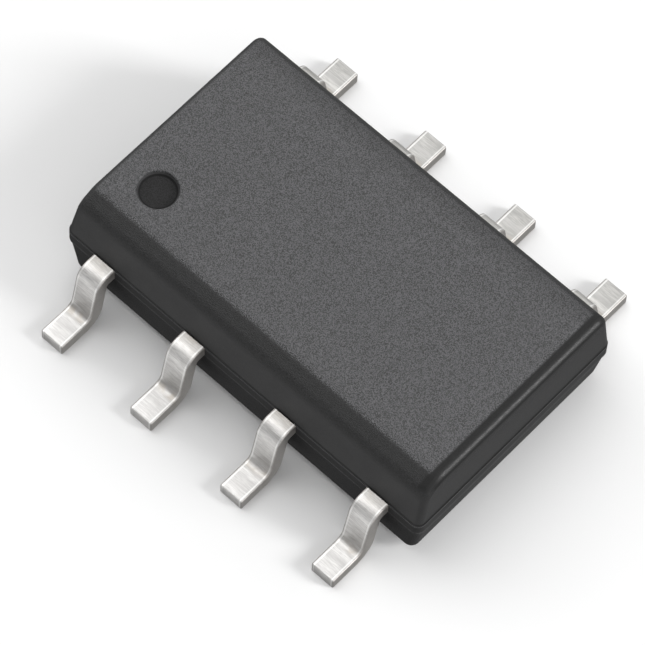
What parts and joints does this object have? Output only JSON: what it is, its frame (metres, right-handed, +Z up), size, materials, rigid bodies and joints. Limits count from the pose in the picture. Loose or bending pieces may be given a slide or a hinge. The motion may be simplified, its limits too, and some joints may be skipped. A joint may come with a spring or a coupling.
{
  "type": "surface-mount power mosfet",
  "caption": "Flat black moulded power transistor with gull-wing leads along both long sides, a bevelled edge and a round recess that marks the first lead.",
  "frame": {"origin": "on the board plane that the lead soles rest on, under the centre of the body", "axes": "+X along the lead rows, away from the end with the round recess; +Y across the body, from the row of leads 1 to 4 to the row of leads 5 to 8; +Z up off the board"},
  "size_m": [0.0098, 0.009, 0.0027],
  "materials": {
    "mould_compound": "matte",
    "tinned_copper": "satin",
    "solder": "satin",
    "silicon": "polished",
    "aluminium_wire": "satin"
  },
  "bodies": {
    "root": {"mould_body": "mould_compound", "drain_frame": "tinned_copper", "source_frame": "tinned_copper", "gate_lead": "tinned_copper", "die_solder": "solder", "silicon_die": "silicon", "source_wire_1": "aluminium_wire", "source_wire_2": "aluminium_wire", "source_wire_3": "aluminium_wire", "gate_wire": "aluminium_wire"}
  },
  "joints": []
}
